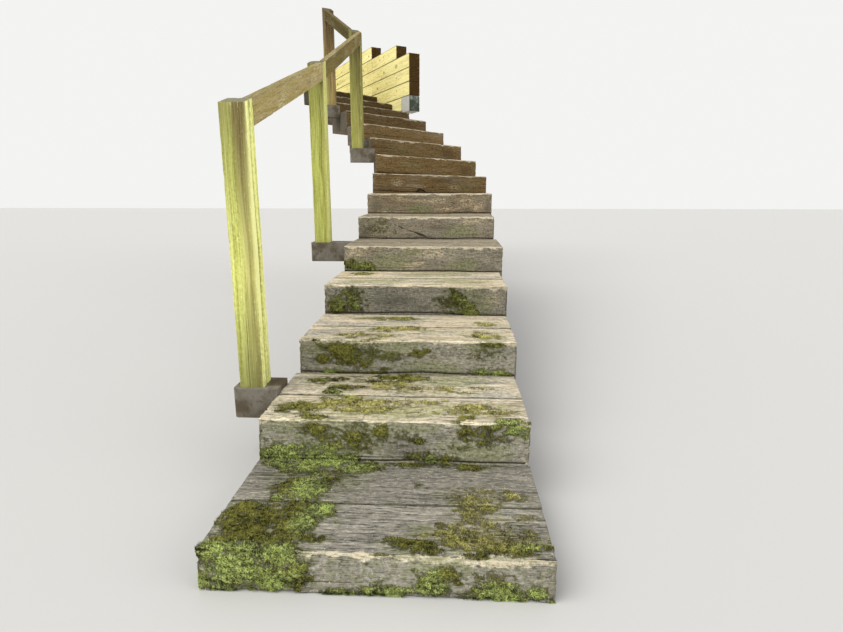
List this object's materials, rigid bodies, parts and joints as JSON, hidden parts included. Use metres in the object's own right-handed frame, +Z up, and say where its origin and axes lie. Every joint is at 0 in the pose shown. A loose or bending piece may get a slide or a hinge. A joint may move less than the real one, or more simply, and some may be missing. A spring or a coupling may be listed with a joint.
{
  "type": "outdoor timber garden steps with handrail",
  "caption": "Weathered timber tie garden steps that climb straight and then wind left, with a post-and-board handrail on the left and a stepped timber wall at the top right.",
  "frame": {"origin": "on the underside of the bottom tie, halfway from its front to its back, on the middle line of the lower flight", "axes": "+Y the way the lower flight climbs, +X to the right as one climbs, +Z up"},
  "size_m": [2.0708, 7.4822, 2.7136],
  "materials": {
    "tie_wood": "weathered grey-brown sleeper timber with checks, worn edges and moss",
    "post_wood": "treated pine, tinted yellow-green by algae",
    "rail_wood": "weathered grey-tan board",
    "wall_wood": "treated square timber, yellow with knots",
    "concrete": "rough grey concrete"
  },
  "bodies": {
    "root": {"tie_01": "tie_wood", "tie_02": "tie_wood", "tie_03": "tie_wood", "tie_04": "tie_wood", "tie_05": "tie_wood", "tie_06": "tie_wood", "tie_07": "tie_wood", "tie_08": "tie_wood", "tie_09": "tie_wood", "tie_10": "tie_wood", "tie_11": "tie_wood", "tie_12": "tie_wood", "tie_13": "tie_wood", "tie_14": "tie_wood", "tie_15": "tie_wood", "rear_timber_01": "tie_wood", "rear_timber_02": "tie_wood", "rear_timber_03": "tie_wood", "rear_timber_04": "tie_wood", "rear_timber_05": "tie_wood", "rear_timber_06": "tie_wood", "rear_timber_07": "tie_wood", "rear_timber_08": "tie_wood", "rear_timber_09": "tie_wood", "rear_timber_10": "tie_wood", "rear_timber_11": "tie_wood", "rear_timber_12": "tie_wood", "rear_timber_13": "tie_wood", "rear_timber_14": "tie_wood", "newel_post": "post_wood", "second_post": "post_wood", "third_post": "post_wood", "fourth_post": "post_wood", "fifth_post": "post_wood", "lower_rail": "rail_wood", "middle_rail": "rail_wood", "upper_rail": "rail_wood", "post_footings": "concrete", "wall_course_1": "wall_wood", "wall_course_2": "wall_wood", "wall_course_3": "wall_wood", "wall_course_4": "wall_wood", "wall_course_5": "wall_wood", "wall_course_6": "wall_wood", "wall_end_block": "concrete"}
  },
  "joints": []
}
